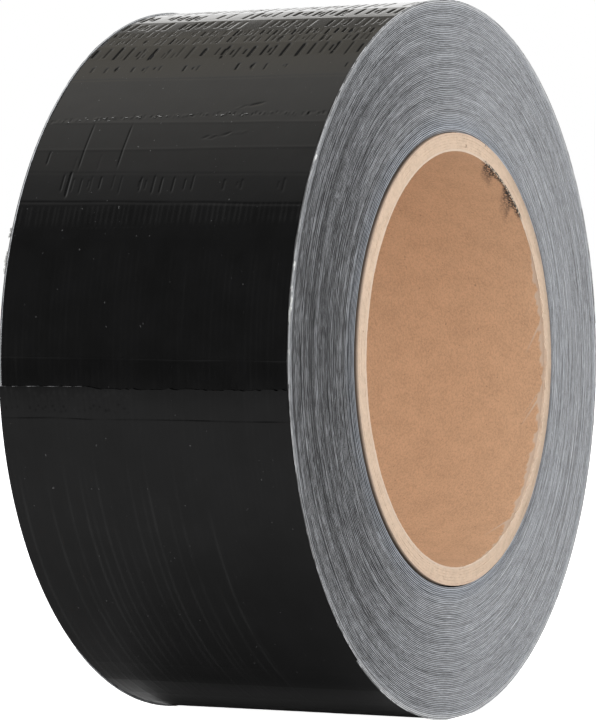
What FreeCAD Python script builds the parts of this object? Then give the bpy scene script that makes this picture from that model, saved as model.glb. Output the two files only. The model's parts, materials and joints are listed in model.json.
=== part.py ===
"""Roll of cloth-reinforced tape on a spiral-wound paperboard core.

Frame: origin at the centre of the core's bore, +Y along the roll's axis, +Z up. The roll stands
on its tread. Polar angles are in degrees in the XZ plane, from +X towards +Z.

The core is seven plies of paper strip, each wound as a helix with a butt seam and glued to the
next. The tape is one long strip of three layers (adhesive inside, cloth scrim, film outside)
wound on the core as a spiral. The strip is cut across in two places that stay closed at rest:
where the outer turn leaves the pack below it, and at the peel line, where the loose end begins.
The loose end is cut again into short rigid segments so that it can peel off the roll.
"""

import FreeCAD, Part
import math
import os

import Sketcher

PARTS_FOLDER = "parts"

# alias, value (mm, degrees or a count), what it is
DIMENSIONS = (
    ("bore_diameter", 76.2, "inside diameter of the 3 inch core"),
    ("core_length", 59.0, "core length, proud of the tape at both ends"),
    ("liner_thickness", 0.40, "innermost kraft ply"),
    ("board_thickness", 0.50, "each ply of pale board"),
    ("board_plies", 5, "number of board plies"),
    ("cover_thickness", 0.40, "outermost ply"),
    ("glue_line", 0.01, "gap between neighbouring plies"),
    ("ply_helix_pitch", 137.0, "axial advance of a ply strip in one turn"),
    ("seam_width", 0.30, "gap where a ply strip's edges butt"),
    ("cutter_margin", 0.05, "how far the seam cutter passes the ply's two faces"),
    ("seam_stagger", 87.0, "angle from one ply's seam to the next"),
    ("first_seam_angle", 286.0, "polar angle at which the liner's seam cutter starts"),
    ("tape_width", 57.15, "2.25 inch tape"),
    ("adhesive_thickness", 0.12, "rubber adhesive on the tape's inner side"),
    ("scrim_thickness", 0.08, "woven cloth in the middle"),
    ("film_thickness", 0.10, "polyethylene film on the tape's outer side"),
    ("layer_gap", 0.005, "gap between neighbouring layers and turns"),
    ("pack_turns", 75, "whole turns under the outer one"),
    ("peel_line_angle", 231.0, "polar angle where the loose end begins"),
    ("lead_segments", 6, "rigid segments of the loose end"),
    ("lead_step", 8.0, "angle that one segment spans"),
    ("lead_gap", 0.03, "gap under the loose end"),
    ("cut_gap", 0.02, "gap at each cut across the strip, as an angle"),
)

doc = FreeCAD.newDocument("tape_roll")
sheet = doc.addObject("Spreadsheet::Sheet", "Sizes")
for row, (alias, value, meaning) in enumerate(DIMENSIONS, start=1):
    sheet.set(f"A{row}", meaning)
    sheet.set(f"B{row}", str(value))
    sheet.setAlias(f"B{row}", alias)
doc.recompute()

parts = []


def size(alias):
    """The value of one cell of the sheet."""
    return float(sheet.get(alias))


def origin_feature(body, role):
    return next(f for f in body.Origin.OriginFeatures if f.Role == role)


def new_body(name):
    body = doc.addObject("PartDesign::Body", name)
    body.Label = name
    parts.append(body)
    return body


def new_sketch(body, name, plane):
    sketch = body.newObject("Sketcher::SketchObject", name)
    sketch.AttachmentSupport = [(origin_feature(body, plane), "")]
    sketch.MapMode = "FlatFace"
    return sketch


def name_dimension(sketch, constraint, name, expression):
    """Adds a driving dimension and binds it to the sheet."""
    index = sketch.addConstraint(constraint)
    sketch.renameConstraint(index, name)
    sketch.setExpression(f"Constraints.{name}", expression)


def turned_about_axis(polar_angle, centre=FreeCAD.Vector()):
    """A placement that carries local +X to a polar angle about the roll's axis."""
    return FreeCAD.Placement(
        centre, FreeCAD.Rotation(FreeCAD.Vector(0, 1, 0), -polar_angle)
    )


# --- the core -------------------------------------------------------------------------------


def ring_sketch(body, inner, outer):
    """Two circles about the roll's axis; inner and outer are radius expressions."""
    sketch = new_sketch(body, f"{body.Name}_ring", "XZ_Plane")
    normal = FreeCAD.Vector(0, 0, 1)
    for name, radius, guess in (("inner", inner, 38.0), ("outer", outer, 39.0)):
        circle = sketch.addGeometry(Part.Circle(FreeCAD.Vector(), normal, guess))
        sketch.addConstraint(Sketcher.Constraint("Coincident", circle, 3, -1, 1))
        dimension = Sketcher.Constraint("Radius", circle, guess)
        name_dimension(sketch, dimension, name, radius)
    return sketch


def seam_sketch(body, inner, outer):
    """The seam's cross-section: a small rectangle through the wall, below the lower end."""
    sketch = new_sketch(body, f"{body.Name}_seam", "XY_Plane")
    guess_x, guess_y = (38.0, 39.0), (-41.0, -40.0)
    corners = [(x, y) for x, y in zip(guess_x + guess_x[::-1], (guess_y[0],) * 2 + (guess_y[1],) * 2)]
    for start, end in zip(corners, corners[1:] + corners[:1]):
        sketch.addGeometry(
            Part.LineSegment(FreeCAD.Vector(*start), FreeCAD.Vector(*end))
        )
    for line in range(4):
        sketch.addConstraint(
            Sketcher.Constraint("Coincident", line, 2, (line + 1) % 4, 1)
        )
    for line, direction in enumerate(("Horizontal", "Vertical") * 2):
        sketch.addConstraint(Sketcher.Constraint(direction, line))
    name_dimension(
        sketch,
        Sketcher.Constraint("DistanceX", -1, 1, 0, 1, guess_x[0]),
        "near",
        f"{inner} - Sizes.cutter_margin",
    )
    name_dimension(
        sketch,
        Sketcher.Constraint("DistanceX", -1, 1, 0, 2, guess_x[1]),
        "far",
        f"{outer} + Sizes.cutter_margin",
    )
    name_dimension(
        sketch,
        Sketcher.Constraint("DistanceY", 1, 1, 1, 2, guess_y[1] - guess_y[0]),
        "width",
        "Sizes.seam_width",
    )
    name_dimension(
        sketch,
        Sketcher.Constraint("DistanceY", 0, 1, -1, 1, -guess_y[0]),
        "start",
        "Sizes.core_length * 0.6",
    )
    return sketch


def core_ply(name, inner, outer, seam_angle):
    """One paper strip wound as a tube, open along its helical butt seam."""
    body = new_body(name)
    tube = body.newObject("PartDesign::Pad", f"{name}_tube")
    tube.Profile = ring_sketch(body, inner, outer)
    tube.SideType = "Symmetric"
    tube.setExpression("Length", "Sizes.core_length")
    seam_profile = seam_sketch(body, inner, outer)
    doc.recompute()
    seam = body.newObject("PartDesign::SubtractiveHelix", f"{name}_butt_seam")
    seam.Profile = seam_profile
    seam.ReferenceAxis = (origin_feature(body, "Y_Axis"), [""])
    seam.Mode = "pitch-height-angle"
    seam.setExpression("Pitch", "Sizes.ply_helix_pitch")
    seam.setExpression("Height", "Sizes.core_length * 1.2")
    body.Placement = turned_about_axis(seam_angle)
    doc.recompute()
    if seam.Shape.Volume >= tube.Shape.Volume:
        raise RuntimeError(f"{name}: the seam cut nothing")
    return body


def build_core():
    """The seven plies, from the bore outwards. Returns the core's outer radius as an expression."""
    boards = int(size("board_plies"))
    plies = [("core_liner_ply", "Sizes.liner_thickness")]
    plies += [
        (f"core_board_ply_{n}", "Sizes.board_thickness") for n in range(1, boards + 1)
    ]
    plies.append(("core_cover_ply", "Sizes.cover_thickness"))
    inner = "Sizes.bore_diameter / 2"
    for index, (name, thickness) in enumerate(plies):
        outer = f"{inner} + {thickness}"
        seam_angle = size("first_seam_angle") + index * size("seam_stagger")
        core_ply(name, inner, outer, seam_angle)
        inner = f"{outer} + Sizes.glue_line"
    return inner


# --- the tape -------------------------------------------------------------------------------

# layer, thickness, offset from the tape's inner surface, as expressions
TAPE_LAYERS = (
    ("adhesive", "Sizes.adhesive_thickness", "0"),
    (
        "scrim",
        "Sizes.scrim_thickness",
        "Sizes.adhesive_thickness + Sizes.layer_gap",
    ),
    (
        "film",
        "Sizes.film_thickness",
        "Sizes.adhesive_thickness + Sizes.scrim_thickness + 2 * Sizes.layer_gap",
    ),
)

adhesive, scrim, film, gap = (
    size(alias)
    for alias in (
        "adhesive_thickness",
        "scrim_thickness",
        "film_thickness",
        "layer_gap",
    )
)
LAYER_STARTS = {"adhesive": 0.0, "scrim": adhesive + gap, "film": adhesive + scrim + 2 * gap}
LAYER_THICKNESS = {"adhesive": adhesive, "scrim": scrim, "film": film}
WIND_PITCH = adhesive + scrim + film + 3 * gap


def core_outer_radius():
    plies = size("board_plies") * size("board_thickness")
    wall = size("liner_thickness") + plies + size("cover_thickness")
    glue_lines = (size("board_plies") + 1) * size("glue_line")
    return size("bore_diameter") / 2 + wall + glue_lines


def winding_start_radius():
    return core_outer_radius() + size("glue_line")


def arc_about(centre, radius, start_angle, end_angle):
    """An arc in a plane across the roll's axis. Angles run from local +X towards -Z."""

    def point(angle):
        turned = math.radians(angle)
        return centre + FreeCAD.Vector(math.cos(turned), 0, -math.sin(turned)) * radius

    middle_angle = (start_angle + end_angle) / 2
    return Part.Arc(point(start_angle), point(middle_angle), point(end_angle))


def spiral_arcs(start_radius, first_turn, turns, y):
    """Part of a spiral that starts at start_radius on local +X and grows by one pitch a turn.
    It is made of half circles whose centres alternate a quarter pitch either side of the axis."""
    arcs = []
    for half_turn in range(2 * first_turn, 2 * (first_turn + turns)):
        side = 1 if half_turn % 2 == 0 else -1
        centre = FreeCAD.Vector(-side * WIND_PITCH / 4, y, 0)
        radius = start_radius + WIND_PITCH / 4 + half_turn * WIND_PITCH / 2
        start_angle = 0 if side == 1 else 180
        cut = size("cut_gap") if half_turn == 2 * first_turn > 0 else 0
        arcs.append(arc_about(centre, radius, start_angle + cut, start_angle + 180))
    return arcs


def wound_layer(prefix, layer, first_turn, turns):
    """One layer of the wound tape over some of its turns."""
    inner_radius = winding_start_radius() + LAYER_STARTS[layer]
    outer_radius = inner_radius + LAYER_THICKNESS[layer]
    width = size("tape_width")
    inner = spiral_arcs(inner_radius, first_turn, turns, -width / 2)
    outer = spiral_arcs(outer_radius, first_turn, turns, -width / 2)
    ends = (
        Part.LineSegment(outer[0].StartPoint, inner[0].StartPoint),
        Part.LineSegment(inner[-1].EndPoint, outer[-1].EndPoint),
    )
    edges = [curve.toShape() for curve in (*inner, *outer, *ends)]
    wire = Part.Wire(Part.__sortEdges__(edges))
    feature = doc.addObject("Part::Feature", f"{prefix}_{layer}")
    feature.Label = f"{prefix}_{layer}"
    feature.Shape = Part.Face(wire).extrude(FreeCAD.Vector(0, width, 0))
    feature.Placement = turned_about_axis(size("peel_line_angle"))
    parts.append(feature)


def arc_strip_sketch(body, inner, outer):
    """An arc-shaped cross-section that starts on local +X and turns towards +Z."""
    sketch = new_sketch(body, f"{body.Name}_section", "XZ_Plane")
    normal = FreeCAD.Vector(0, 0, 1)
    guess_inner, guess_outer, guess_angle = 65.0, 66.0, math.radians(8)

    def point(radius, angle):
        return FreeCAD.Vector(radius * math.cos(angle), radius * math.sin(angle), 0)

    def arc(radius):
        circle = Part.Circle(FreeCAD.Vector(), normal, radius)
        return sketch.addGeometry(Part.ArcOfCircle(circle, 0, guess_angle))

    inner_arc, outer_arc = arc(guess_inner), arc(guess_outer)
    far_end, near_end = (
        sketch.addGeometry(
            Part.LineSegment(point(guess_inner, angle), point(guess_outer, angle))
        )
        for angle in (guess_angle, 0)
    )
    for joined in (
        (inner_arc, 3, -1, 1),
        (outer_arc, 3, -1, 1),
        (inner_arc, 2, far_end, 1),
        (outer_arc, 2, far_end, 2),
        (inner_arc, 1, near_end, 1),
        (outer_arc, 1, near_end, 2),
    ):
        sketch.addConstraint(Sketcher.Constraint("Coincident", *joined))
    sketch.addConstraint(Sketcher.Constraint("PointOnObject", near_end, 1, -1))
    sketch.addConstraint(Sketcher.Constraint("PointOnObject", near_end, 2, -1))
    sketch.addConstraint(Sketcher.Constraint("PointOnObject", -1, 1, far_end))
    for name, curve, radius, guess in (
        ("inner", inner_arc, inner, guess_inner),
        ("outer", outer_arc, outer, guess_outer),
    ):
        dimension = Sketcher.Constraint("Radius", curve, guess)
        name_dimension(sketch, dimension, name, radius)
    span = Sketcher.Constraint("Angle", far_end, guess_angle)
    name_dimension(sketch, span, "span", "(Sizes.lead_step - Sizes.cut_gap) * 1 deg")
    return sketch


def lead_segment(layer, thickness, offset, number, core_radius):
    """One layer of one rigid segment of the loose end. Segment 1 is at the peel line."""
    pitch = " + ".join(
        f"Sizes.{alias}"
        for alias in ("adhesive_thickness", "scrim_thickness", "film_thickness")
    )
    pitch = f"({pitch} + 3 * Sizes.layer_gap)"
    inner = (
        f"{core_radius} + {pitch} * (Sizes.pack_turns + 1.25)"
        f" + Sizes.lead_gap + {offset}"
    )
    body = new_body(f"lead_{number}_{layer}")
    strip = body.newObject("PartDesign::Pad", f"{body.Name}_strip")
    strip.Profile = arc_strip_sketch(body, inner, f"{inner} + {thickness}")
    strip.SideType = "Symmetric"
    strip.setExpression("Length", "Sizes.tape_width")
    peel_line, step = size("peel_line_angle"), size("lead_step")
    shift = math.radians(peel_line)
    centre = FreeCAD.Vector(math.cos(shift), 0, math.sin(shift)) * (-WIND_PITCH / 4)
    body.Placement = turned_about_axis(
        peel_line - number * step + size("cut_gap") / 2, centre
    )


def build_tape(core_radius):
    pack_turns = int(size("pack_turns"))
    for layer in LAYER_STARTS:
        wound_layer("wound", layer, 0, pack_turns)
        wound_layer("outer_turn", layer, pack_turns, 1)
    for number in range(1, int(size("lead_segments")) + 1):
        for layer, thickness, offset in TAPE_LAYERS:
            lead_segment(layer, thickness, offset, number, core_radius)


# --- checks and export ----------------------------------------------------------------------


def check_document():
    doc.recompute()
    failed = [
        o.Name for o in doc.Objects if "Invalid" in o.State or "Error" in o.State
    ]
    if failed:
        raise RuntimeError(f"failed to recompute: {failed}")
    for part in parts:
        if part.Shape.isNull() or not part.Shape.isValid() or not part.Shape.Solids:
            raise RuntimeError(f"{part.Label} has no valid solid")


def export_parts():
    os.makedirs(PARTS_FOLDER, exist_ok=True)
    for part in parts:
        part.Shape.exportStep(os.path.join(PARTS_FOLDER, f"{part.Label}.step"))


core_radius_expression = build_core()
build_tape(core_radius_expression)
check_document()
export_parts()
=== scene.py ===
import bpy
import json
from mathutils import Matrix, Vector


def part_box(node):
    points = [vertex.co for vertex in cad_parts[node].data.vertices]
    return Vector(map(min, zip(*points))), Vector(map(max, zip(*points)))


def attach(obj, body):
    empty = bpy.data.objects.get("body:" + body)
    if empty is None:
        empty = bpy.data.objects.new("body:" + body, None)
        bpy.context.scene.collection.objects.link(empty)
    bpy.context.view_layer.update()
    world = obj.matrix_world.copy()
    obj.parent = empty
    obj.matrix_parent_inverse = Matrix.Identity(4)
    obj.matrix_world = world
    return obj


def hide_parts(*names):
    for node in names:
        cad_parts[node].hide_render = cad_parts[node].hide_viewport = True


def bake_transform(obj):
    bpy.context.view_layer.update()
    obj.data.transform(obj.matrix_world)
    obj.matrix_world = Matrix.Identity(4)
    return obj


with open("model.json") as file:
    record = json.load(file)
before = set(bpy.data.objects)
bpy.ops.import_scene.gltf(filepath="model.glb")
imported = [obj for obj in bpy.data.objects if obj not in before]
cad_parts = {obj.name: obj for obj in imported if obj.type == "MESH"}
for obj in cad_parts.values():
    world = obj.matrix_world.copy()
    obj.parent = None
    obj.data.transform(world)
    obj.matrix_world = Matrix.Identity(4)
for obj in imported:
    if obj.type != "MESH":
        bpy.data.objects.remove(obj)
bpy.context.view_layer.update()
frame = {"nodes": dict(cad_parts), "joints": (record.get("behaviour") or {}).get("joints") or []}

import json
import math

import bpy
import numpy as np
from mathutils import Matrix, Vector

# Lengths are in millimetres until a mesh is made. Angles are in degrees.
# An unrolled position on the tape's outside is (t, y): t is the angle back from the cut end of
# the tape, y the distance along the roll's axis. phi is the angle up from the roll's -X side.
# The front face, which the photograph shows, is at -Y.
MM = 0.001
TURNS = 76
QUICK_STEP = 1
rng = np.random.default_rng(11)


# --- sizes from the CAD -----------------------------------------------------------------------


def radii(node):
    """Smallest and largest distance of a CAD node's vertices from the roll's axis."""
    vertices = frame["nodes"][node].data.vertices
    points = np.zeros(len(vertices) * 3)
    vertices.foreach_get("co", points)
    points = points.reshape(-1, 3) / MM
    r = np.hypot(points[:, 0], points[:, 2])
    return r.min(), r.max()


def half_length(node):
    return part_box(node)[1].y / MM


joints = {j["name"]: j for j in frame["joints"]}
hinge = joints["lead_peel"]["pos_m"]
PEEL_ANGLE = math.degrees(math.atan2(hinge[2], hinge[0])) % 360
LEAD_COUNT = len(joints)
LENGTH_ANGLE = 8.0  # of one rigid length of the loose end
LEAD_SPAN = LEAD_COUNT * LENGTH_ANGLE
CUT_ANGLE = PEEL_ANGLE - LEAD_SPAN

WIDTH = half_length("wound_film")
WINDING_START = radii("wound_adhesive")[0]
OUTSIDE = radii("lead_6_film")[1]
PITCH = (radii("outer_turn_film")[1] - WINDING_START) / TURNS
FILM = np.ptp(radii("lead_6_film"))
ADHESIVE = np.ptp(radii("lead_6_adhesive"))
SCRIM = np.ptp(radii("lead_6_scrim"))
FLOOR = min(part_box(n)[0].z for n in frame["nodes"]) / MM


# --- noise --------------------------------------------------------------------------------------


def lattice(ix, iy, seed):
    """A repeatable random number from 0 to 1 for each whole-number point."""
    h = (ix * 374761393 + iy * 668265263 + seed * 1442695041) & 0xFFFFFFFF
    h = ((h ^ (h >> 13)) * 1274126177) & 0xFFFFFFFF
    return ((h ^ (h >> 16)) & 0xFFFF) / 65535


def noise(x, y=0.0, seed=0):
    """Smooth random field from -1 to 1 with features one unit across."""
    x, y = np.broadcast_arrays(np.asarray(x, float), np.asarray(y, float))
    ix, iy = np.floor(x).astype(np.int64), np.floor(y).astype(np.int64)
    fx, fy = x - ix, y - iy
    fx, fy = fx * fx * (3 - 2 * fx), fy * fy * (3 - 2 * fy)
    low = lattice(ix, iy, seed) * (1 - fx) + lattice(ix + 1, iy, seed) * fx
    high = lattice(ix, iy + 1, seed) * (1 - fx) + lattice(ix + 1, iy + 1, seed) * fx
    return (low * (1 - fy) + high * fy) * 2 - 1


def smoothstep(x, low, high):
    t = np.clip((x - low) / (high - low), 0, 1)
    return t * t * (3 - 2 * t)


# --- meshes -------------------------------------------------------------------------------------

SHARP_ANGLE = 38
SQUARE = ((-1, -1), (1, -1), (1, 1), (-1, 1))
SLIVER_THICKNESS = 0.03


def polar(radius, angle, y):
    """Points of the row frame, in millimetres, from distance, polar angle and axial position."""
    a = np.radians(angle)
    radius, a, y = np.broadcast_arrays(radius, a, y)
    return np.stack([radius * np.cos(a), y, radius * np.sin(a)], axis=-1)


def grid_quads(rows, columns, wrap_rows=False, first=0):
    """Four-cornered faces of a grid of points whose numbers begin at first."""
    r = np.arange(rows if wrap_rows else rows - 1)
    r, c = np.meshgrid(r, np.arange(columns - 1), indexing="ij")
    r2, c2 = (r + 1) % rows, c + 1
    corners = [r * columns + c, r * columns + c2, r2 * columns + c2, r2 * columns + c]
    return np.stack([k.ravel() for k in corners], axis=1) + first


def mesh_object(name, points, quads, material, uv=None, smooth=True, attributes=()):
    """A mesh object from points in millimetres and four-cornered faces."""
    points = np.asarray(points, float).reshape(-1, 3)
    quads = np.asarray(quads, np.int32)
    mesh = bpy.data.meshes.new(name)
    mesh.vertices.add(len(points))
    mesh.vertices.foreach_set("co", (points * MM).astype(np.float32).ravel())
    mesh.loops.add(quads.size)
    mesh.loops.foreach_set("vertex_index", quads.ravel())
    mesh.polygons.add(len(quads))
    mesh.polygons.foreach_set("loop_start", np.arange(0, quads.size, 4, dtype=np.int32))
    mesh.polygons.foreach_set("use_smooth", np.full(len(quads), smooth))
    if uv is not None:
        layer = mesh.uv_layers.new(name="UVMap")
        corner_uv = uv.reshape(-1, 2)[quads.ravel()].astype(np.float32)
        layer.data.foreach_set("uv", corner_uv.ravel())
    for key, values in attributes:
        attribute = mesh.attributes.new(key, "FLOAT", "POINT")
        attribute.data.foreach_set("value", np.asarray(values, np.float32).ravel())
    mesh.materials.append(material)
    mesh.update(calc_edges=True)
    if smooth:
        mesh.set_sharp_from_angle(angle=math.radians(SHARP_ANGLE))
    obj = bpy.data.objects.new(name, mesh)
    bpy.context.scene.collection.objects.link(obj)
    return obj


def grid_object(name, points, material, **options):
    return mesh_object(name, points, grid_quads(*points.shape[:2]), material, **options)


class Slivers:
    """Many short flat threads, each closed all round, gathered into one mesh."""

    def __init__(self):
        self.corners, self.quads = [], []

    def add(self, start, end, side, taper):
        """A thread from start to end, side being half its width."""
        thick = np.cross(end - start, side)
        thick = thick / (np.linalg.norm(thick) + 1e-9) * SLIVER_THICKNESS / 2
        first = len(self.corners)
        for place, scale in ((start, 1.0), (end, taper)):
            self.corners += [place + (a * side + b * thick) * scale for a, b in SQUARE]
        caps = [[0, 3, 2, 1], [4, 5, 6, 7]]
        walls = [[k, (k + 1) % 4, 4 + (k + 1) % 4, 4 + k] for k in range(4)]
        self.quads += [[first + k for k in quad] for quad in caps + walls]

    def build(self, name, material):
        piece = mesh_object(name, self.corners, self.quads, material, smooth=False)
        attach(piece, "roll")


# --- materials ----------------------------------------------------------------------------------


class Nodes:
    """Short names for building a node tree."""

    def __init__(self, tree):
        self.tree = tree
        tree.nodes.clear()

    def add(self, kind, inputs=(), **settings):
        node = self.tree.nodes.new(kind)
        for key, value in settings.items():
            setattr(node, key, value)
        for key, value in dict(inputs).items():
            if isinstance(value, bpy.types.NodeSocket):
                self.tree.links.new(value, node.inputs[key])
            else:
                node.inputs[key].default_value = value
        return node

    def math(self, operation, a, b=0.0):
        return self.add("ShaderNodeMath", {0: a, 1: b}, operation=operation).outputs[0]

    def scaled(self, vector, scale):
        inputs = {"Vector": vector, "Scale": scale}
        return self.add("ShaderNodeMapping", inputs).outputs[0]

    def noise(self, vector, scale=1.0, detail=3.0, roughness=0.6):
        inputs = {"Vector": vector, "Scale": scale, "Detail": detail, "Roughness": roughness}
        return self.add("ShaderNodeTexNoise", inputs).outputs["Fac"]

    def range(self, value, low, high, out_low=0.0, out_high=1.0):
        inputs = {0: value, 1: low, 2: high, 3: out_low, 4: out_high}
        return self.add("ShaderNodeMapRange", inputs).outputs[0]

    def mix(self, factor, a, b, blend_type="MIX"):
        node = self.add("ShaderNodeMix", data_type="RGBA", blend_type=blend_type)
        for index, value in ((0, factor), (6, a), (7, b)):
            if isinstance(value, bpy.types.NodeSocket):
                self.tree.links.new(value, node.inputs[index])
            else:
                node.inputs[index].default_value = value
        return node.outputs[2]

    def bump(self, height, distance):
        inputs = {"Height": height, "Distance": distance, "Strength": 1.0}
        return self.add("ShaderNodeBump", inputs).outputs[0]

    def attribute(self, name):
        return self.add("ShaderNodeAttribute", attribute_name=name).outputs["Fac"]


def new_material(name):
    material = bpy.data.materials.new(name)
    material.use_nodes = True
    return material, Nodes(material.node_tree)


def finish_material(nodes, **inputs):
    shader = nodes.add("ShaderNodeBsdfPrincipled", inputs)
    output = nodes.add("ShaderNodeOutputMaterial")
    nodes.tree.links.new(shader.outputs[0], output.inputs[0])


def grey(value, tint=(1, 1, 1)):
    return (value * tint[0], value * tint[1], value * tint[2], 1)


def film_material():
    """Glossy black polyethylene film with fine scuffs, dust and a faint print of the weave."""
    material, n = new_material("black_film")
    place = n.add("ShaderNodeTexCoord").outputs["Object"]
    fine = n.noise(n.scaled(place, (1600, 1600, 1600)), detail=4)
    broad = n.noise(n.scaled(place, (120, 120, 120)), detail=3)
    scuff = n.noise(n.scaled(place, (300, 2600, 300)), detail=3)
    specks = n.noise(n.scaled(place, (1900, 1900, 1900)), detail=0)
    dust = n.range(specks, 0.85, 0.89)
    base = n.mix(n.range(broad, 0.35, 0.65), grey(0.0015), grey(0.003, (1, 1, 1.05)))
    rubbed = n.math("MULTIPLY", n.attribute("thread"), n.range(broad, 0.3, 0.6, 0.3, 1.0))
    base = n.mix(rubbed, base, grey(0.010))
    base = n.mix(n.math("MULTIPLY", dust, 0.5), base, grey(0.12))
    rough = n.range(scuff, 0.3, 0.75, 0.09, 0.17)
    height = n.math("ADD", n.math("MULTIPLY", fine, 0.4), scuff)
    bump = n.bump(height, 0.0000035)
    finish_material(
        n,
        **{"Base Color": base, "Roughness": rough, "Normal": bump, "IOR": 1.5},
    )
    return material


def wound_edge_material(name, dark, light, tint, roughness):
    """The cut edge of one layer of the tape, with streaks that follow the winding. It is bluer near
    the core and paler on the last turns."""
    material, n = new_material(name)
    uv = n.add("ShaderNodeUVMap").outputs[0]
    place = n.add("ShaderNodeTexCoord").outputs["Object"]
    streak = n.noise(n.scaled(uv, (0.28, 0.9, 1)), detail=3, roughness=0.7)
    long_streak = n.noise(n.scaled(uv, (0.035, 1.3, 1)), detail=2, roughness=0.6)
    fleck = n.noise(n.scaled(place, (2100, 2100, 2100)), detail=2)
    mixed = n.math("MULTIPLY", streak, 0.55)
    mixed = n.math("ADD", mixed, n.math("MULTIPLY", long_streak, 0.45))
    base = n.mix(n.range(mixed, 0.34, 0.66), grey(dark, tint), grey(light, tint))
    base = n.mix(n.range(fleck, 0.62, 0.80, 0.0, 0.5), base, grey(min(light * 1.6, 0.8), tint))
    level = n.add("ShaderNodeSeparateXYZ", {0: uv}).outputs[1]
    near_core = n.range(level, 12, 3, 0.0, 0.18)
    base = n.mix(near_core, base, grey((dark + light) / 2, (0.75, 0.95, 1.25)))
    near_outside = n.range(level, TURNS - 2.6, TURNS - 1.4, 0.0, 0.28)
    base = n.mix(near_outside, base, grey(min(2 * light, 0.85)))
    rough = n.range(fleck, 0.3, 0.7, roughness - 0.1, roughness + 0.1)
    bump = n.bump(fleck, 0.00002)
    finish_material(n, **{"Base Color": base, "Roughness": rough, "Normal": bump, "IOR": 1.45})
    return material


def underside_material():
    """Tacky grey adhesive with the threads of the scrim showing through it."""
    material, n = new_material("adhesive_face")
    uv = n.add("ShaderNodeUVMap").outputs[0]
    place = n.add("ShaderNodeTexCoord").outputs["Object"]

    def threads(direction, pitch):
        wave = n.add(
            "ShaderNodeTexWave",
            {"Vector": uv, "Scale": 0.5 / pitch, "Distortion": 0.6},
            bands_direction=direction,
        )
        return wave.outputs["Fac"]

    weave = n.math("MAXIMUM", threads("X", 0.9), threads("Y", 1.35))
    blotch = n.noise(n.scaled(place, (900, 900, 900)), detail=4)
    between, on_thread = grey(0.16, (1, 1.02, 1.06)), grey(0.27, (1, 1.01, 1.03))
    base = n.mix(n.range(weave, 0.55, 1.0), between, on_thread)
    base = n.mix(n.range(blotch, 0.5, 0.75, 0.0, 0.5), base, grey(0.36, (1, 1.01, 1.04)))
    rough = n.range(blotch, 0.3, 0.7, 0.32, 0.6)
    height = n.math("ADD", weave, n.math("MULTIPLY", blotch, 0.6))
    finish_material(
        n, **{"Base Color": base, "Roughness": rough, "Normal": n.bump(height, 0.00004)}
    )
    return material


def thread_material(name, light):
    material, n = new_material(name)
    place = n.add("ShaderNodeTexCoord").outputs["Object"]
    fibre = n.noise(n.scaled(place, (5000, 900, 5000)), detail=3)
    base = n.mix(n.range(fibre, 0.3, 0.7), grey(light * 0.4), grey(light, (1, 1, 0.98)))
    finish_material(
        n,
        **{"Base Color": base, "Roughness": 0.85, "Normal": n.bump(fibre, 0.00003)},
    )
    return material


def paper_material(name, colour, mottle, speckle, fibre_size=(900, 1300, 900), scuff=False):
    """Unbleached paper: cloudy colour, darker and lighter fibres, and a felted surface. With scuff,
    its cut ends are paler and its worn places black."""
    material, n = new_material(name)
    place = n.add("ShaderNodeTexCoord").outputs["Object"]
    cloud = n.noise(n.scaled(place, (260, 200, 260)), detail=4)
    fibre = n.noise(n.scaled(place, fibre_size), detail=5, roughness=0.75)
    grain = n.noise(n.scaled(place, (2600, 2600, 2600)), detail=2)
    spots = n.noise(n.scaled(place, (1500, 1500, 1500)), detail=1)

    def shade(k):
        return tuple(min(c * k, 1) for c in colour) + (1,)

    base = n.mix(n.range(cloud, 0.35, 0.65), shade(1 - mottle), shade(1 + mottle))
    base = n.mix(n.range(fibre, 0.45, 0.75, 0, speckle), base, shade(1.35))
    base = n.mix(n.range(fibre, 0.50, 0.25, 0, speckle), base, shade(0.62))
    base = n.mix(n.range(spots, 0.72, 0.80, 0, 0.55), base, shade(0.45))
    # Painted shade from the painted_shade attribute: darker paper where the core's wall meets the
    # tape.
    base = n.mix(n.attribute("painted_shade"), base, shade(0.22))
    if scuff:
        base = n.mix(n.attribute("cut"), base, (0.64, 0.51, 0.40, 1))
        worn = n.math("MULTIPLY", n.attribute("scuff"), n.range(grain, 0.35, 0.55))
        base = n.mix(worn, base, grey(0.045))
    height = n.math("ADD", n.math("MULTIPLY", grain, 0.5), fibre)
    finish_material(
        n,
        **{
            "Base Color": base,
            "Roughness": 0.92,
            "Specular IOR Level": 0.25,
            "Normal": n.bump(height, 0.00006),
        },
    )
    return material


film = film_material()
film_edge = wound_edge_material("film_edge", 0.022, 0.075, (1, 1, 1.03), 0.42)
scrim_edge = wound_edge_material("scrim_edge", 0.08, 0.42, (1, 1, 1.03), 0.75)
adhesive_edge = wound_edge_material("adhesive_edge", 0.26, 0.64, (0.95, 1.0, 1.07), 0.55)
adhesive_face = underside_material()
thread = thread_material("scrim_thread", 0.34)
# Near-white thread colour: painted glints on the tape's frayed edges.
glint_white_thread = thread_material("fray_painted_glint", 0.95)
kraft = paper_material("kraft_liner", (0.605, 0.385, 0.24), 0.06, 0.6, (2300, 3000, 2300), True)
board = paper_material("core_board", (0.61, 0.465, 0.35), 0.03, 0.3)
torn_paper = paper_material("torn_paper", (0.74, 0.60, 0.47), 0.04, 0.3)
cover = paper_material("core_cover", (0.59, 0.445, 0.34), 0.04, 0.25)


# --- core ---------------------------------------------------------------------------------------

CORE_PLIES = (
    "core_liner_ply",
    *(f"core_board_ply_{n}" for n in range(1, 6)),
    "core_cover_ply",
)
SEAM_PITCH = 137.0
SEAM_START = 286.0
SEAM_STAGGER = 87.0
SEAM_WIDTH = 0.3
PLY_COLUMNS = 1080
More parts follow.
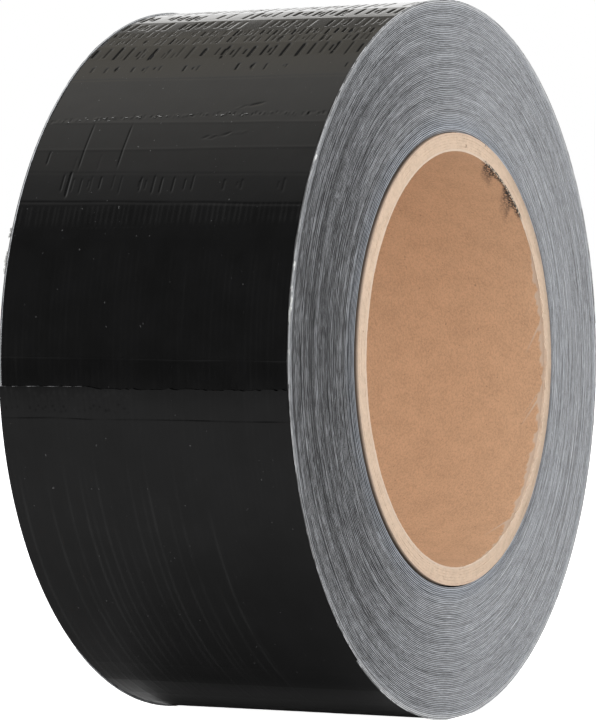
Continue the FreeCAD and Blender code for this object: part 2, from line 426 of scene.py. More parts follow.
# Distances from a ply's end at which its walls have points, closest where the end is worn.
END_DEPTHS = np.array([0.0, 0.08, 0.2, 0.35, 0.5, 0.65, 0.8, 1.0, 1.2])
EDGE_SHARES = (0.08, 0.5, 0.92)  # of a ply's thickness, on its cut ends
BLACK_SCUFFS = ((66, 4.5), (50, 5))  # polar angle and half width of the two worn places
BURR_FIBRES = 320


def seam_angle(index, y):
    """Polar angle of a ply's helical butt seam at axial position y."""
    length = half_length("core_liner_ply") * 2
    return SEAM_START + index * SEAM_STAGGER - 360 * (y + 0.6 * length) / SEAM_PITCH


def core_ply(index, name):
    """One paper ply: a tube opened along its seam, with cut ends that are a little fuzzy. The
    liner, the first ply, is torn and scuffed along its front edge."""
    inner, outer = radii(name)
    half = half_length(name)
    middle = np.linspace(-half + 4, half - 4, 14)
    along = np.concatenate([-half + END_DEPTHS, middle, half - END_DEPTHS[::-1]])
    walls = [(inner, y) for y in along[::-1]]
    thickness = outer - inner
    front = [(inner + thickness * f, -half) for f in EDGE_SHARES]
    back = [(outer - thickness * f, half) for f in EDGE_SHARES]
    loop = walls + front + [(outer, y) for y in along] + back
    r = np.array([p[0] for p in loop])[:, None]
    y = np.array([p[1] for p in loop])[:, None]
    gap = math.degrees(SEAM_WIDTH / inner)
    turn = np.linspace(gap / 2, 360 - gap / 2, PLY_COLUMNS)[None, :]
    angle = seam_angle(index, y) + turn
    at_end = np.exp(-(half - np.abs(y)) / 0.15)
    arc = np.radians(angle) * r
    fuzz = noise(arc / 0.35, r * 7 + index, seed=20 + index) * 0.03
    wave = noise(arc / 5, index, seed=40 + index) * 0.04
    lip = noise(arc / 0.6, y * 2, seed=60 + index) * 0.02 * at_end
    rounded = 0.015 * (np.abs(r - (inner + outer) / 2) > thickness * 0.45) * at_end
    y = y - np.sign(y) * (rounded - fuzz - wave) * at_end
    r = r + lip
    scuff = torn = np.zeros_like(angle)
    polar_angle = (angle + 180) % 360 - 180
    if index == 0:
        side = np.cos(np.radians(angle - 10))
        burr = smoothstep(side, -0.2, 0.9) * at_end * (y < 0) * (r < inner + 0.1)
        r = r - burr * (0.05 + 0.16 * np.clip(noise(arc / 0.9, 0.5, seed=71), 0, 1) ** 2)
        depth = y + half
        blobs = sum(np.exp(-(((polar_angle - p) / w) ** 2)) for p, w in BLACK_SCUFFS)
        patch = smoothstep(polar_angle, 41, 45) * (1 - smoothstep(polar_angle, 70, 74))
        spread = (0.25 + 2.0 * blobs) * (0.7 + 0.4 * noise(polar_angle / 2.2, 2.0, seed=81))
        scuff = patch * (1 - smoothstep(depth, spread * 0.5, spread + 0.5))
        reach = 0.95 * smoothstep(polar_angle, -95, -60) * (1 - smoothstep(polar_angle, 15, 40))
        reach = reach * (0.75 + 0.5 * noise(arc / 1.3, 0.0, 95) + 0.35 * noise(arc / 0.5, 0.0, 96))
        torn = 1 - smoothstep(depth, reach - 0.08, reach + 0.04)
        torn = torn * (r < inner + 0.1) * (reach > 0.04)
        r = r + 0.06 * torn
    points = polar(r, angle, y)
    quads = grid_quads(len(loop), PLY_COLUMNS, wrap_rows=True)
    across = 2 * len(along) + len(front) - 1  # from a point of the inner wall to the outer one
    seam_faces = [
        [row * PLY_COLUMNS + column for row in (k, k + 1, across - k - 1, across - k)]
        for column in (0, PLY_COLUMNS - 1)
        for k in range(len(along) - 1)
    ]
    quads = np.concatenate([quads, np.array(seam_faces)])
    material = {0: kraft, len(CORE_PLIES) - 1: cover}.get(index, board)
    cut = np.maximum(1 - smoothstep(half - np.abs(y), 0.03, 0.16), torn)
    core_inner, core_outer = radii(CORE_PLIES[0])[0], radii(CORE_PLIES[-1])[1]
    # Painted shade: dark on the core's left side where the cover's outer wall meets the tape, and a
    # little darker towards the ring's outer edge on the right.
    left = smoothstep(-np.cos(np.radians(polar_angle)), 0.0, 0.5)
    right = smoothstep(np.cos(np.radians(polar_angle)), 0.2, 0.8)
    wall = (r > core_outer - 0.05) * (1 - smoothstep(np.abs(y) - WIDTH, 0.40, 0.85))
    painted_shade = left * wall + 0.3 * right * smoothstep(r, core_inner + 0.8, core_outer)
    attributes = [("scuff", scuff), ("cut", cut), ("painted_shade", painted_shade)]
    attributes = [(key, np.broadcast_to(values, scuff.shape)) for key, values in attributes]
    ply = mesh_object(name + "_paper", points, quads, material, attributes=attributes)
    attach(ply, "roll")
    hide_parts(name)


# Share of the lip's height, how far it leans into the bore (mm), and whether on its inner side.
LIP_PROFILE = ((0, 0, 0), (0.5, 0.02, 0), (1, 0.10, 0), (1, 0.16, 1), (0.5, 0.12, 1), (0, 0.1, 1))


def torn_lip():
    """The lip of paper that the saw raised round part of the core's front edge, with loose
    fibres."""
    inner = radii("core_liner_ply")[0]
    half = half_length("core_liner_ply")
    angle = np.linspace(-88, 34, 1100)
    arc = np.radians(angle) * inner
    size = 0.12 + 0.75 * smoothstep(angle, -80, -38) * (1 - smoothstep(angle, 2, 30))
    tear = 0.55 + 0.35 * noise(arc / 1.6, 0.3, 91) + 0.30 * noise(arc / 0.45, 0.6, 92)
    size = size * np.clip(tear, 0.05, 1.3)
    points = []
    for share, inward, thick in LIP_PROFILE:
        lean = inward + 0.30 * share * noise(arc / 2.3, 0.2, 93) * size
        radius = inner + 0.12 - lean - 0.04 * thick
        height = -half + 0.02 - size * share + 0.04 * noise(arc / 0.3, share * 5, 94)
        points.append(polar(radius, angle, height))
    lip = grid_object("core_torn_lip", np.array(points), torn_paper)
    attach(lip, "roll")

    fibres = Slivers()
    for _ in range(BURR_FIBRES):
        place = rng.normal(-25, 35)
        length = min(abs(rng.normal(0.25, 0.2)) + 0.1, 0.7)
        root = inner + rng.uniform(-0.1, 0.1)
        start = polar(root, place, -half - np.interp(place, angle, size) * rng.uniform(0, 1))
        turn = place + math.degrees(length * rng.uniform(-1, 1) / inner)
        reach = inner - length * rng.uniform(0, 0.5)
        tip = polar(reach, turn, start[1] - length * rng.uniform(0, 0.6))
        side = polar(inner, place + 0.05, 0) - polar(inner, place, 0)
        fibres.add(start, tip, side, 0.3)
    fibres.build("core_burr_fibres", torn_paper)


for index, name in enumerate(CORE_PLIES):
    core_ply(index, name)
torn_lip()


# --- tape: the outside --------------------------------------------------------------------------

ROW_STEP = 0.16
T_END = LEAD_SPAN + 360
rows_t = np.arange(0, T_END + ROW_STEP, ROW_STEP)
columns_y = np.linspace(-WIDTH, WIDTH, 385)
MM_PER_DEGREE = math.radians(OUTSIDE)


def t_of(phi):
    """Unrolled angle of the visible place at phi degrees above the -X side."""
    return (180 - phi - CUT_ANGLE) % 360


def stamp(relief, t, y, length, width, height, slant=0.0):
    """Adds one groove or bump of Gaussian section, length in degrees and width in millimetres."""
    r0, r1 = np.searchsorted(rows_t, (t - length, t + length))
    reach = 3 * width + abs(slant) * length
    c0, c1 = np.searchsorted(columns_y, (y - reach, y + reach))
    if r1 <= r0 or c1 <= c0:
        return
    dt = rows_t[r0:r1, None] - t
    dy = columns_y[None, c0:c1] - y - slant * dt
    window = 1 - smoothstep(np.abs(dt) / (length / 2), 0.75, 1.25)
    relief[r0:r1, c0:c1] += height * window * np.exp(-((dy / width) ** 2))


def dash_row(relief, phi_low, phi_high, skew, spacing, share, depth, width, y_range):
    """A row of short grooves along the tape, where the film dips between threads of the scrim."""
    y = y_range[0] + rng.uniform(0, spacing)
    while y < y_range[1]:
        if rng.random() < share:
            low = phi_low + rng.uniform(0, 0.25) * (phi_high - phi_low)
            high = phi_high - rng.uniform(0, 0.25) * (phi_high - phi_low)
            place, span = skewed(t_of((low + high) / 2), y, skew), high - low
            wide, deep = width * rng.uniform(0.8, 1.3), depth * rng.uniform(0.5, 1.2)
            stamp(relief, place, y + rng.normal(0, 0.2), span, wide, -deep)
            if rng.random() < 0.35:
                stamp(relief, place, y + rng.uniform(0.5, 1.1), span * 0.5, width, -depth * 0.7)
        y += spacing * rng.uniform(0.85, 1.15)


# Creases across the tape that the light picks out: phi at mid width, how much higher the crease
# sits at its back end than at its front end (both degrees), and the height of its fold (mm).
CREASES = (
    (50.9, 1.2, -0.05),
    (40.8, 1.6, 0.022),
    (35.6, 0.8, 0.028),
    (31.1, 1.5, -0.026),
    (25.95, 1.4, -0.035),
    (1.8, 0.7, 0.035),
)
UPPER_FOLDS = ((56.7, 1.2), (61.1, 1.6), (66.2, 2.8), (71.7, 3.4), (77.5, 2.6), (84.0, 2.6))
# Folds of the loose end: unrolled angle and height. The first is the shadow line below the cut.
UNDER_END = ((4.3, -0.06), (22.5, 0.0), (34.0, 0.0))
FLATS_BEFORE_CUT = (337.0, 346.0, 362.5, 375, 389)  # unrolled angles, with no fold

# Long grooves along the tape: axial position, phi from and to.
LONG_GROOVES = ((18.0, 32.4, 40.9), (10.1, 32.5, 40.4), (24.9, 33.3, 35.6))
# Clusters of slanted dents: phi, axial position, spread (mm) and number.
DENTS = ((37.9, -8.2, 2.2, 16), (44.1, -12.6, 2.2, 9))
PINHOLE_PHI = 42.35

# Rows of short grooves: phi from and to at mid width, skew, spacing, share present, depth, width,
# and the part of the tape's width that they cross.
GROOVES = (
    (78.0, 84.5, 2.6, 2.0, 0.97, 0.17, 0.30, (-28, 28)),
    (72.5, 77.3, 2.6, 2.1, 0.95, 0.17, 0.28, (-28, 28)),
    (67.0, 71.5, 3.0, 1.9, 0.95, 0.16, 0.27, (-28, 28)),
    (64.0, 66.8, 2.6, 1.4, 0.9, 0.14, 0.23, (-28, 28)),
    (61.2, 64.2, 2.2, 1.6, 0.9, 0.13, 0.23, (-28, 28)),
    (56.3, 60.9, 1.6, 2.5, 0.97, 0.20, 0.27, (-28, 28)),
    (56.6, 58.6, 1.6, 2.2, 0.5, 0.10, 0.20, (0, 28)),
    (52.7, 54.9, 1.2, 2.7, 0.9, 0.15, 0.23, (-12, 28)),
    (52.9, 54.6, 1.2, 3.9, 0.6, 0.08, 0.20, (-28, -12)),
    (31.6, 34.6, 1.2, 4.6, 0.5, 0.03, 0.16, (-4, 28)),
    (27.4, 30.9, 1.4, 2.0, 0.8, 0.06, 0.15, (-8, 28)),
    (27.8, 30.4, 1.4, 4.2, 0.6, 0.04, 0.17, (-27, -6)),
    (-6.6, -3.4, 0.5, 1.2, 0.9, 0.04, 0.20, (0, 28)),
)


def skewed(t, y, skew):
    """Where a crease crosses y, when its back end sits higher up the roll by the skew."""
    return t - skew * y / (2 * WIDTH)


def tread_relief():
    """Height of the film above a smooth spiral, on the grid of rows_t and columns_y, and how much
    the threads along the tape show through."""
    t, y = np.meshgrid(rows_t, columns_y, indexing="ij")
    along = t * MM_PER_DEGREE
    relief = 0.005 * noise(along / 2.1, y / 2.6, 1) + 0.010 * noise(along / 11, y / 17, 2)
    folds = [(t_of(phi), skew, height, 0.55) for phi, skew, height in CREASES]
    folds += [(t_of(phi), skew, 0.006, 0.55) for phi, skew in UPPER_FOLDS]
    folds += [(place, 0.4, height, 0.1) for place, height in UNDER_END]
    folds += [(place, 0.4, 0.0, 0.3) for place in FLATS_BEFORE_CUT]
    folds += [(place, 0.0, 0.004, 0.4) for place in np.arange(52, 268, 6.3)]
    folds.sort()
    for (low, skew_low, _, flat), (high, skew_high, _, _) in zip(folds, folds[1:]):
        start, end = skewed(low, y, skew_low), skewed(high, y, skew_high)
        offset, half = np.radians(t - (start + end) / 2), np.radians((end - start) / 2)
        sag = OUTSIDE * (np.cos(half) / np.cos(np.clip(offset, -0.3, 0.3)) - 1)
        relief += np.where((t >= start) & (t < end), flat * sag, 0)
    for k, (place, skew, height, _) in enumerate(folds):
        wander = 0.10 * noise(columns_y / 9, 0.1, 300 + 2 * k)
        strength = 0.75 + 0.25 * noise(columns_y / 4, 0.6, 301 + 2 * k)
        dt = rows_t[:, None] - (skewed(place, columns_y, skew) + wander)[None, :]
        relief += height * strength[None, :] * np.exp(-((dt / 0.20) ** 2))

    # The cloth's long threads, clear in one band and faint below it
    print_through = np.zeros_like(relief)
    phi = (180 - rows_t - CUT_ANGLE + 180) % 360 - 180
    strong = smoothstep(phi, 21.8, 23.2) * (1 - smoothstep(phi, 25.2, 25.9))
    faint = smoothstep(phi, -100, -75) * (1 - smoothstep(phi, 17, 20))
    for place in np.arange(-27.8, 28, 1.1):
        sway = 0.12 * noise(rows_t / 14, place, 9)
        patchy = 0.5 + 0.5 * noise(rows_t / 5, place, 10)
        distance = columns_y[None, :] - place - rng.normal(0, 0.12) - sway[:, None]
        weight = (strong + 0.3 * faint * patchy) * rng.uniform(0.5, 1.0)
        print_through += weight[:, None] * np.exp(-((distance / 0.22) ** 2))
    # Separate long threads, low on the roll
    for place in np.arange(-12, 27, 2.05):
        top = rng.uniform(-42, -8)
        sparse = smoothstep(phi, -110, -80) * (1 - smoothstep(phi, top - 16, top))
        sway = 0.15 * noise(rows_t / 20, place, 12)
        distance = columns_y[None, :] - place - rng.normal(0, 0.5) - sway[:, None]
        weight = sparse * rng.uniform(0.6, 2.6) * (0.7 + 0.3 * noise(rows_t / 9, place, 13))
        print_through += weight[:, None] * np.exp(-((distance / 0.24) ** 2))
    relief += 0.010 * print_through
    # Fine wrinkles low on the roll, towards the back face
    creased = smoothstep(-phi, 48, 72)[:, None] * smoothstep(y, 2, 18)
    relief += 0.007 * creased * noise(along / 1.6 + y / 5, y / 4, 14)

    for row in GROOVES:
        dash_row(relief, *row)
    for start in np.arange(110, 262, 7.7):
        phi = 180 - CUT_ANGLE - start
        dash_row(relief, phi, phi + rng.uniform(2.5, 5.5), 0.5, 2.6, 0.6, 0.04, 0.17, (-27, 27))
    for place, low, high in LONG_GROOVES:
        stamp(relief, t_of((low + high) / 2), place, high - low, 0.16, -0.08)
    stamp(relief, t_of(29.5), 19.1, 4.2, 0.22, -0.13)
    for place in np.arange(-0.5, 14.5, 0.9):
        stamp(relief, t_of(21.8), place, 0.3, 0.25, rng.uniform(0.01, 0.03))

    # The row of pinholes
    for place in np.arange(-28, 28, 0.7):
        if rng.random() < 0.85:
            phi = PINHOLE_PHI - 0.55 * (place / WIDTH) ** 2 + rng.normal(0, 0.13)
            bump = rng.choice([-1, 1]) * rng.uniform(0.02, 0.075)
            span, width = rng.uniform(0.35, 0.8), rng.uniform(0.12, 0.32)
            stamp(relief, t_of(phi), place + rng.normal(0, 0.15), span, width, bump)
    for phi, place, spread, count in DENTS:
        for _ in range(count):
            shift = rng.normal(0, 1)
            height = rng.uniform(-0.06, 0.03)
            t_stamp = t_of(phi - 0.28 * shift + rng.normal(0, 0.12))
            stamp(relief, t_stamp, place + spread * shift, 0.6, 0.45, height, slant=1.5)
    edge = WIDTH - np.abs(y)
    uneven = 0.8 + 0.5 * noise(along / 1.7, np.sign(y), 31)
    rounding = 0.10 * (1 - smoothstep(edge, 0.0, 0.45))
    return relief - rounding * uneven, print_through


relief, print_through = tread_relief()


def outside_radius(t):
    """Radius of the smooth spiral of the film's outside."""
    return OUTSIDE - PITCH * np.asarray(t) / 360


def sheet_rows(t_low, t_high, step):
    """Row numbers of the relief from t_low to t_high, both included."""
    first, last = round(t_low / ROW_STEP), round(t_high / ROW_STEP)
    count = max(round((last - first) / step), 1)
    return np.unique(np.round(np.linspace(first, last, count + 1)).astype(int))


def outside_points(rows, columns):
    t = rows_t[rows][:, None]
    radius = outside_radius(t) + relief[np.ix_(rows, columns)]
    return polar(radius, t + CUT_ANGLE, columns_y[columns][None, :])


# --- tape: the winding seen on the roll's two faces ----------------------------------------------


def face_heights(columns, seed, rim):
    """How far each turn's edge stands out past the tape's half width, and how far its film stands
    out past the next turn's adhesive, by turn and column. The outermost turns stand out by rim."""
    turn = np.arange(TURNS)[:, None]
    angle = turn * 360 + np.linspace(0, 360, columns)[None, :]
    radius = WINDING_START + PITCH * angle / 360
    arc = np.radians(angle) * radius
    wander = 0.05 * noise(arc / 60, 0.3, seed) + 0.03 * noise(arc / 9, 0.7, seed + 1)
    nicks = 0.03 * noise(arc / 1.3, 0.2, seed + 2)
    per_turn = 0.05 * noise(angle / 360 * 0.83, 0.0, seed + 3)
    bands = 0.05 * noise(angle / 360 / 5, 0.0, seed + 4)
    out = wander + nicks + per_turn + bands
    level = angle / 360
    calm = 1 - 0.7 * np.exp(-((level / 6) ** 4))
    out = out * calm + 0.55 * np.exp(-((level / 5.5) ** 2)) - 0.5 * np.exp(-level / 0.35)
    out = out + rim * smoothstep(level, TURNS - 5.0, TURNS - 2.5)
    ragged_fin = 0.025 * noise(arc / 7, 0.1, seed + 5) + 0.035 * noise(arc / 1.6, 0.4, seed + 6)
    fin = 0.095 + ragged_fin + 0.03 * noise(angle / 360 * 0.9, 0.0, seed + 7)
    fin = fin * calm * (1 - 0.75 * smoothstep(level, TURNS - 6.0, TURNS - 3.5))
    return out, np.maximum(fin, 0.015)


# How far the last turns' edges stand out past the others, front and back.
FRONT_RIM, BACK_RIM = 0.10, -0.22


def edge_ribbons(side, columns, seed):
    """The edges of the three layers on one face, for the wound pack and for the outer turn.

    Each turn rises from its adhesive to its film, which stands out as a fin with a black outer
    wall. From one side of the roll the eye meets the fins' walls, from the other the adhesive."""
    top, fin = face_heights(columns, seed, FRONT_RIM if side < 0 else BACK_RIM)
    foot = np.minimum(top[:-1], top[1:]) - np.minimum(fin[:-1], fin[1:])
    foot = np.concatenate([top[:1] - 0.25, foot, top[-1:] * 0 - 0.20])
    turn = np.arange(TURNS)[:, None]
    angle = PEEL_ANGLE - np.linspace(0, 360, columns)[None, :]
    level = turn + np.linspace(0, 1, columns)[None, :]
    start = WINDING_START + PITCH * level
    arc = np.radians(level * 360) * start

    def at(share, height):
        return start + PITCH * share, height

    ring = {
        "inner_foot": at(0.0, foot[:-1]),
        "adhesive_middle": at(0.22, foot[:-1] * 0.6 + top * 0.4),
        "adhesive_top": at(0.44, foot[:-1] * 0.35 + top * 0.65),
        "scrim_top": at(0.72, top - 0.015),
        "film_top": at(0.78, top),
        "film_corner": at(0.93, top - 0.01),
        "outer_foot": at(1.0, foot[1:]),
    }
    end = "front" if side < 0 else "back"
    rim = np.interp(T_END - np.linspace(0, 360, columns), rows_t, relief[:, 0 if side < 0 else -1])
    for key in ("film_top", "film_corner", "outer_foot"):
        radius, height = ring[key]
        radius[-1] += rim - 0.04
        height[-1] = np.minimum(height[-1], 0.03)
    layers = {
        "adhesive": ("inner_foot", "adhesive_middle", "adhesive_top"),
        "scrim": ("adhesive_top", "scrim_top"),
        "film": ("scrim_top", "film_top", "film_corner", "outer_foot"),
    }
    materials = {"adhesive": adhesive_edge, "scrim": scrim_edge, "film": film_edge}
    for layer, rings in layers.items():
        for prefix, turns in (("wound", slice(0, -1)), ("outer_turn", slice(-1, None))):
            parts, coordinates = [], []
            for key in rings:
                r, height = ring[key]
                y = side * (WIDTH + np.broadcast_to(height, r.shape))[turns]
                parts.append(polar(r[turns], angle, y))
                share = (r - start) / PITCH
                coordinates.append(np.stack([arc, level + share], axis=-1)[turns])
            points, uv = np.stack(parts, axis=1), np.stack(coordinates, axis=1)
            per_turn = len(rings) * columns
            starts = range(0, len(points) * per_turn, per_turn)
            ribbon = mesh_object(
                f"{prefix}_{layer}_{end}",
                points,
                np.concatenate([grid_quads(len(rings), columns, first=k) for k in starts]),
                materials[layer],
                uv=uv,
                smooth=False,
            )
            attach(ribbon, "roll")
            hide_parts(f"{prefix}_{layer}")


edge_ribbons(-1, 1081, seed=100)
edge_ribbons(1, 541, seed=200)


# --- tape: the outer turn and the loose end ------------------------------------------------------

HINGE_START = LEAD_SPAN + 0.4
UNSEEN = (104, 256)  # unrolled angles of the back of the roll, where every third row is enough
STRIP_HALF_WIDTH = WIDTH + 0.04
fine = np.arange(len(columns_y))
coarse = np.arange(0, len(columns_y), 4)


def outer_turn_film():
    """The outside of the last full turn, turned down over both edges of the tape."""
    low, high = UNSEEN
    rows = np.concatenate(
        [
            sheet_rows(HINGE_START, low, QUICK_STEP),
            sheet_rows(low, high, 3)[1:],
            sheet_rows(high, T_END, QUICK_STEP)[1:],
        ]
    )
    points = outside_points(rows, fine)
    edges = [
        polar(outside_radius(rows_t[rows]) - FILM, rows_t[rows] + CUT_ANGLE, y)[:, None]
        for y in (-STRIP_HALF_WIDTH, STRIP_HALF_WIDTH)
    ]
    points = np.concatenate([edges[0], points, edges[1]], axis=1)
    threads = np.pad(print_through[rows], ((0, 0), (1, 1)))
    t = np.broadcast_to(rows_t[rows][:, None] * MM_PER_DEGREE, points.shape[:2])
    uv = np.stack([t, points[..., 1]], axis=-1)
    attributes = [("thread", threads)]
    strip = grid_object("outer_turn_film_outside", points, film, uv=uv, attributes=attributes)
    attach(strip, "roll")
    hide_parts("outer_turn_film")


outer_turn_film()


def lead_span(number):
    """Where the visible piece about joint number starts and ends. The one past the last joint
    is the tip."""
    if number > LEAD_COUNT:
        return LENGTH_ANGLE / 2, 0.0
    hinge_place = LEAD_SPAN - (number - 1) * LENGTH_ANGLE
    start = HINGE_START if number == 1 else hinge_place + LENGTH_ANGLE / 2
    return start, hinge_place - LENGTH_ANGLE / 2


def ragged(t, y, seed):
    """Pushes the last millimetre of the tape's cut end in and out, further over part of it."""
    tear = 0.20 * noise(y / 0.8, 0.4, seed) + 0.10 * noise(y / 4.5, 0.4, seed + 1)
    rough_half = 0.25 + 0.75 * smoothstep(-y, -9, -6)
    step = 0.50 - 0.42 * smoothstep(-y, -11, -7.5)
    return t - np.exp(-t / 0.5) * (step + tear * rough_half)


def lead_sheet(number, layer, top, thickness, columns, material, step):
    """One layer of one visible piece of the loose end, closed all round. At the cut the film hangs
    past the other two layers, except towards the back face."""
    start, end = lead_span(number)
    rows = sheet_rows(end, start, step)
    t = rows_t[rows][:, None] * np.ones(len(columns))[None, :]
    y = columns_y[columns][None, :] * np.ones_like(t)
    surface = relief[np.ix_(rows, columns)]
    lift = 0.05 * np.exp(-t / 1.5)
    if layer != "film":
        surface = 0.15 * surface
    smooth_radius = outside_radius(t) - top + lift
    if layer != "film":
        t = t + 0.30 - 0.295 * smoothstep(y, 8, 12) * np.exp(-t / 0.4)
    t = ragged(t, y, {"film": 400, "scrim": 410, "adhesive": 420}[layer])
    upper = polar(smooth_radius + surface, t + CUT_ANGLE, y)
    lower = polar(smooth_radius - thickness, t + CUT_ANGLE, y)
    count_rows, count_columns = t.shape
    points = np.concatenate([upper.reshape(-1, 3), lower.reshape(-1, 3)])
    size = count_rows * count_columns
    top_quads = grid_quads(count_rows, count_columns)
    bottom_quads = grid_quads(count_rows, count_columns, first=size)[:, ::-1]
    border = np.concatenate(
        [
            np.arange(count_columns),
            np.arange(1, count_rows) * count_columns + count_columns - 1,
            (count_rows - 1) * count_columns + np.arange(count_columns - 2, -1, -1),
            np.arange(count_rows - 2, 0, -1) * count_columns,
        ]
    )
    following = np.roll(border, -1)
    sides = np.stack([following, border, border + size, following + size], axis=1)
    uv = np.stack([t * MM_PER_DEGREE, y], axis=-1).reshape(-1, 2)
    threads = print_through[np.ix_(rows, columns)].ravel()
    sheet = mesh_object(
        f"lead_{layer}_piece_{number}",
        points,
        np.concatenate([top_quads, bottom_quads, sides]),
        material,
        uv=np.concatenate([uv, uv]),
        attributes=[("thread", np.concatenate([threads, 0 * threads]))],
    )
    attach_lead(sheet, number)
    if number <= LEAD_COUNT:
        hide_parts(f"lead_{number}_{layer}")


def attach_lead(piece, number):
    """Bakes a piece's transform into its mesh, leaving it without a body. The tip rides on the last
    body.
    """
    if number > LEAD_COUNT:
        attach(piece, f"lead_{LEAD_COUNT}")
        return
    start, end = (polar(OUTSIDE, t + CUT_ANGLE, 0.0) * MM for t in lead_span(number))
    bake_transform(piece)


# Frayed places of the tape's edges, where near-white thread ends are painted glints: phi, front and
# back.
FRONT_GLINT_TUFTS = (33, 15.5, 12.0, 10.4, 9.9, 9.3, 8.6, 7.4, 2.6)
BACK_GLINT_TUFTS = (21.6, 21.1, 17.8, 17.2, 16.4, 15.3)
THREADS_PER_GLINT_TUFT = 6
PINHOLE_THREADS = 30


def fray_glints_and_pinhole_threads():
    """Frayed ends of the cloth's threads on the tape's two edges, near-white so that they stand in
    for glints there (painted glints), and threads that show through a row of pinholes across the
    film."""
    glint_tufts = Slivers()
    places = [(-1, phi) for phi in FRONT_GLINT_TUFTS] + [(1, phi) for phi in BACK_GLINT_TUFTS]
    for side, phi in places:
        for _ in range(THREADS_PER_GLINT_TUFT):
            angle = 180 - phi + rng.normal(0, 0.2)
            radius = outside_radius(t_of(phi)) + rng.uniform(-0.08, 0.15)
            centre = polar(radius, angle, side * (WIDTH + rng.uniform(-0.08, 0.25)))
            wide, tall = rng.uniform(0.09, 0.20), rng.uniform(0.15, 0.5)
            along = polar(radius, angle + math.degrees(tall / radius), centre[1]) - centre
            out = polar(1, angle + rng.uniform(-40, 40), side * rng.uniform(-0.4, 0.6)) * wide
            glint_tufts.add(centre - along, centre + along, out, 0.8)
    glint_tufts.build("rim_fray_painted_glints", glint_white_thread)

    pinholes = Slivers()
    for _ in range(PINHOLE_THREADS):
        y, phi = rng.uniform(-14, 27), PINHOLE_PHI - 0.15 + rng.normal(0, 0.2)
        angle, radius = 180 - phi + 0.55 * (y / WIDTH) ** 2, outside_radius(t_of(phi)) + 0.05
        tall, wide = rng.uniform(0.03, 0.06), rng.uniform(0.08, 0.3)
        side = polar(radius, angle + math.degrees(tall / radius), 0) - polar(radius, angle, 0)
        pinholes.add(polar(radius, angle, y - wide), polar(radius, angle, y + wide), side, 1.0)
    pinholes.build("pinhole_threads", thread)


fray_glints_and_pinhole_threads()
LAYER_GAP = 0.005
below_film, below_scrim = FILM + LAYER_GAP, FILM + SCRIM + 2 * LAYER_GAP
for number in range(1, LEAD_COUNT + 2):
    lead_sheet(number, "film", 0.0, FILM, fine, film, QUICK_STEP)
    lead_sheet(number, "scrim", below_film, SCRIM, coarse, thread, 3)
    lead_sheet(number, "adhesive", below_scrim, ADHESIVE, coarse, adhesive_face, 3)


# --- stage --------------------------------------------------------------------------------------

FLOOR_REACH = 4000
FILL_ENERGY, FILL_SIZE, FILL_DISTANCE = 4.5, 0.9, 1.1
# The camera: degrees, then the roll's outside radius as the unit of length, then a lens in
# millimetres on a 36 mm sensor.
AZIMUTH, ELEVATION, CAMERA_ROLL = -62.288, 1.477, -0.737
CAMERA_DISTANCE, SHIFT_RIGHT, SHIFT_UP = 10.3394, 0.05367, 0.00258
SENSOR, LENS = 36.0, 181.837


def studio_floor():
    """A floor that is plain white to the camera. Seen in the tape's gloss it is a grey card, with
    other tones under the roll and far from it; its darkest tone, under the roll's -X side, is the
    roll's shadow painted in."""
    material, n = new_material("studio_floor")
    path = n.add("ShaderNodeLightPath").outputs
    place = n.add("ShaderNodeNewGeometry").outputs["Position"]
    x = n.add("ShaderNodeSeparateXYZ", {0: place}).outputs[0]
    # Painted shadow of the roll, seen only in the gloss: darkest near x = -0.03 m under the roll,
    # lighter further out towards -X, and paler from under the roll's middle towards +X.
    card = n.mix(n.range(x, -0.030, -0.085), grey(0.21), grey(0.37))
    card = n.mix(n.range(x, -0.30, -0.60), card, grey(0.10))
    card = n.mix(n.range(x, -0.027, -0.020), card, grey(0.5))
    tone = n.mix(path["Is Glossy Ray"], grey(0.90), card)
    shader = n.add("ShaderNodeBsdfDiffuse", {"Color": tone})
    glow = n.add("ShaderNodeEmission", {"Strength": path["Is Camera Ray"]})
    total = n.add("ShaderNodeAddShader", {0: shader.outputs[0], 1: glow.outputs[0]})
    output = n.add("ShaderNodeOutputMaterial")
    n.tree.links.new(total.outputs[0], output.inputs[0])
    points = [(x * FLOOR_REACH, y * FLOOR_REACH, FLOOR) for x, y in SQUARE]
    floor = mesh_object("studio_floor", points, [[0, 1, 2, 3]], material, smooth=False)


# What the glossy tape sees: an angle up from -X about the roll's axis, how bright the studio is
# there, and how much blue it lacks.
STUDIO = (
    (-10, 0.13, 0.0),
    (42, 0.13, 0.0),
    (49, 0.14, 0.0),
    (54, 0.30, 0.02),
    (62, 0.44, 0.03),
    (70, 0.54, 0.06),
    (78, 0.64, 0.06),
    (87, 0.70, 0.07),
    (96, 0.78, 0.08),
    (104, 0.72, 0.08),
    (112, 0.68, 0.16),
    (121, 0.48, 0.18),
    (130, 0.50, 0.18),
    (138, 0.26, 0.14),
    (144, 0.28, 0.10),
    (149, 0.9, 0.06),
    (156, 1.5, 0.02),
    (165, 1.5, 0.0),
    (180, 1.2, 0.0),
)


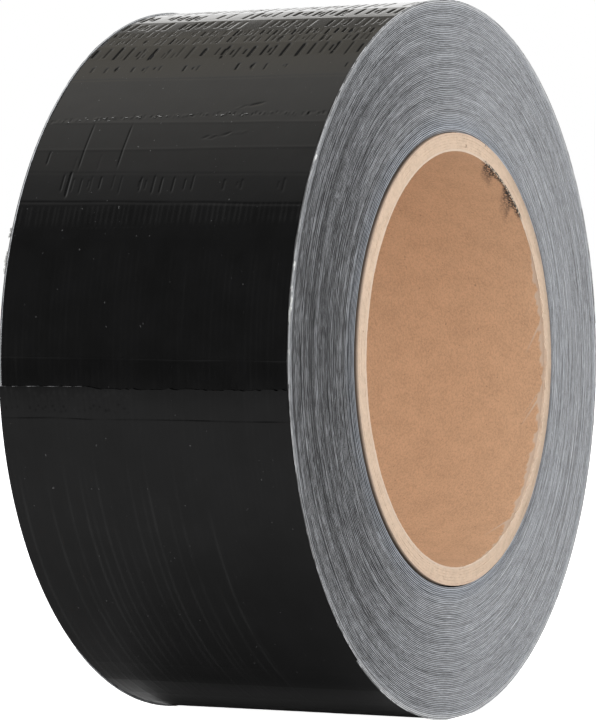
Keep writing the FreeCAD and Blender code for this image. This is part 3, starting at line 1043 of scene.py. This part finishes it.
def studio_world():
    """White to the camera. Glossy surfaces see a soft studio with a dark side and a bright back,
    and matt surfaces see an even light."""
    world = bpy.data.worlds.new("studio")
    world.use_nodes = True
    bpy.context.scene.world = world
    world.cycles.sampling_method = "NONE"
    n = Nodes(world.node_tree)
    direction = n.add("ShaderNodeTexCoord").outputs["Generated"]
    x, y, z = n.add("ShaderNodeSeparateXYZ", {0: direction}).outputs
    turned = n.math("ARCTAN2", z, n.math("MULTIPLY", x, -1.0))
    ramp = n.add("ShaderNodeValToRGB", {"Fac": n.range(turned, -math.pi, math.pi)})
    elements = ramp.color_ramp.elements
    top = max(value for _, value, _ in STUDIO)
    while len(elements) < len(STUDIO):
        elements.new(0.5)
    for element, (angle, value, warmth) in zip(elements, STUDIO):
        element.position = (angle + 180) / 360
        element.color = grey(value / top, (1, 1 - 0.35 * warmth, 1 - warmth))
    back = n.mix(1.0, ramp.outputs[0], grey(top), blend_type="MULTIPLY")
    back = n.mix(n.range(y, 0.62, 0.80), back, grey(0.9))
    front = n.mix(n.range(y, 0.12, -0.15), grey(0.05), grey(0.35))
    glossy = n.mix(n.range(y, 0.40, 0.08), back, front)
    matt = n.mix(n.range(z, -0.3, 1.0), grey(1.0), grey(0.9))
    path = n.add("ShaderNodeLightPath").outputs
    seen = n.mix(path["Is Glossy Ray"], matt, glossy)
    seen = n.mix(path["Is Camera Ray"], seen, grey(1))
    background = n.add("ShaderNodeBackground", {"Color": seen})
    output = n.add("ShaderNodeOutputWorld")
    n.tree.links.new(background.outputs[0], output.inputs[0])


def camera():
    """A long lens level with the roll, a little above its axis, turned towards its tread."""
    a, e, r = (math.radians(v) for v in (AZIMUTH, ELEVATION, CAMERA_ROLL))
    back = Vector((math.sin(a) * math.cos(e), -math.cos(a) * math.cos(e), math.sin(e)))
    right = Vector((math.cos(a), math.sin(a), 0))
    up = back.cross(right)
    x_axis = right * math.cos(r) + up * math.sin(r)
    y_axis = up * math.cos(r) - right * math.sin(r)
    place = back * CAMERA_DISTANCE - x_axis * SHIFT_RIGHT - y_axis * SHIFT_UP
    data = bpy.data.cameras.new("camera")
    data.sensor_width, data.lens = SENSOR, LENS
    data.clip_start, data.clip_end = 0.01, 50
    obj = bpy.data.objects.new("camera", data)
    bpy.context.scene.collection.objects.link(obj)
    turn = Matrix((x_axis, y_axis, back)).transposed()
    obj.matrix_world = Matrix.Translation(place * OUTSIDE * MM) @ turn.to_4x4()
    bpy.context.scene.camera = obj


def front_fill():
    """A soft light from in front of the roll's seen face, left out of reflections."""
    data = bpy.data.lights.new("front_fill", "AREA")
    data.shape, data.size, data.size_y = "RECTANGLE", FILL_SIZE, FILL_SIZE
    data.energy = FILL_ENERGY
    light = bpy.data.objects.new("front_fill", data)
    bpy.context.scene.collection.objects.link(light)
    towards = Vector((-0.45, -0.85, 0.28)).normalized()
    turn = towards.to_track_quat("Z", "Y").to_matrix().to_4x4()
    light.matrix_world = Matrix.Translation(towards * FILL_DISTANCE) @ turn
    light.visible_glossy = False


studio_floor()
studio_world()
front_fill()
camera()
bpy.context.scene.view_settings.view_transform = "Standard"
